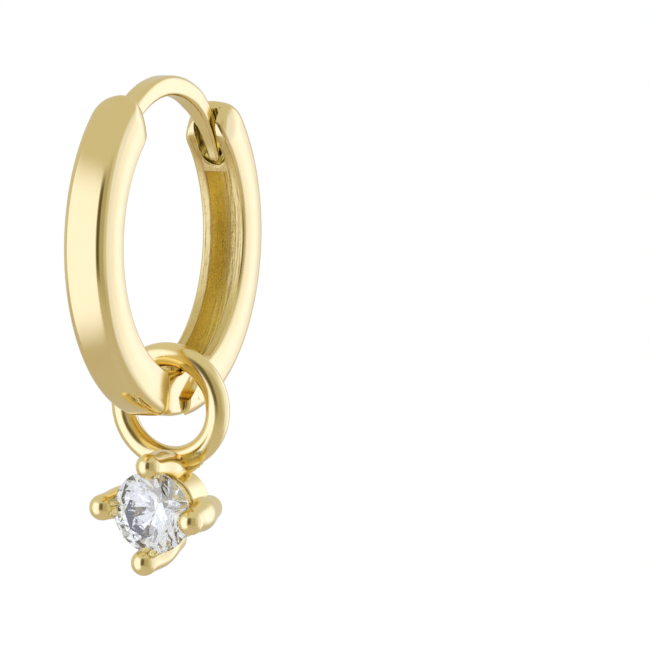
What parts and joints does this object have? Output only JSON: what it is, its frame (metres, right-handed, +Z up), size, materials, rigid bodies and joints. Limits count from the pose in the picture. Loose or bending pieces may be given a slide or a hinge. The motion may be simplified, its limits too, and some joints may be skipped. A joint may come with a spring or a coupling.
{
  "type": "huggie earring",
  "caption": "Hinged huggie hoop earring: an arched ear post snaps into a slotted catch, and a soldered ring carries a free-hanging claw-set round brilliant.",
  "frame": {"origin": "underside of the ear post's crest, where it hangs in the ear lobe", "axes": "+Z up as worn, -Y towards the front of the hoop, X along the hinge pin"},
  "size_m": [0.0052, 0.014, 0.0195],
  "materials": {
    "band_gold": "polished gold plating",
    "pin_gold": "polished gold plating",
    "drop_gold": "polished gold plating",
    "crystal": "cut and polished, colourless"
  },
  "bodies": {
    "front": {"front_half": "band_gold"},
    "back": {"back_half": "band_gold", "hinge_pin": "pin_gold"},
    "drop": {"charm_setting": "drop_gold", "stone": "crystal"}
  },
  "joints": [
    {"name": "hoop_hinge", "type": "hinge", "parent": "front", "child": "back", "pos_m": [0, 0.00125, -0.01171], "axis": [-1, 0, 0], "range_deg": [0, 45]},
    {"name": "drop_swing", "type": "hinge", "parent": "front", "child": "drop", "pos_m": [0, 0.00036, -0.01017], "axis": [1, 0, 0], "range_deg": [-30, 20]}
  ]
}
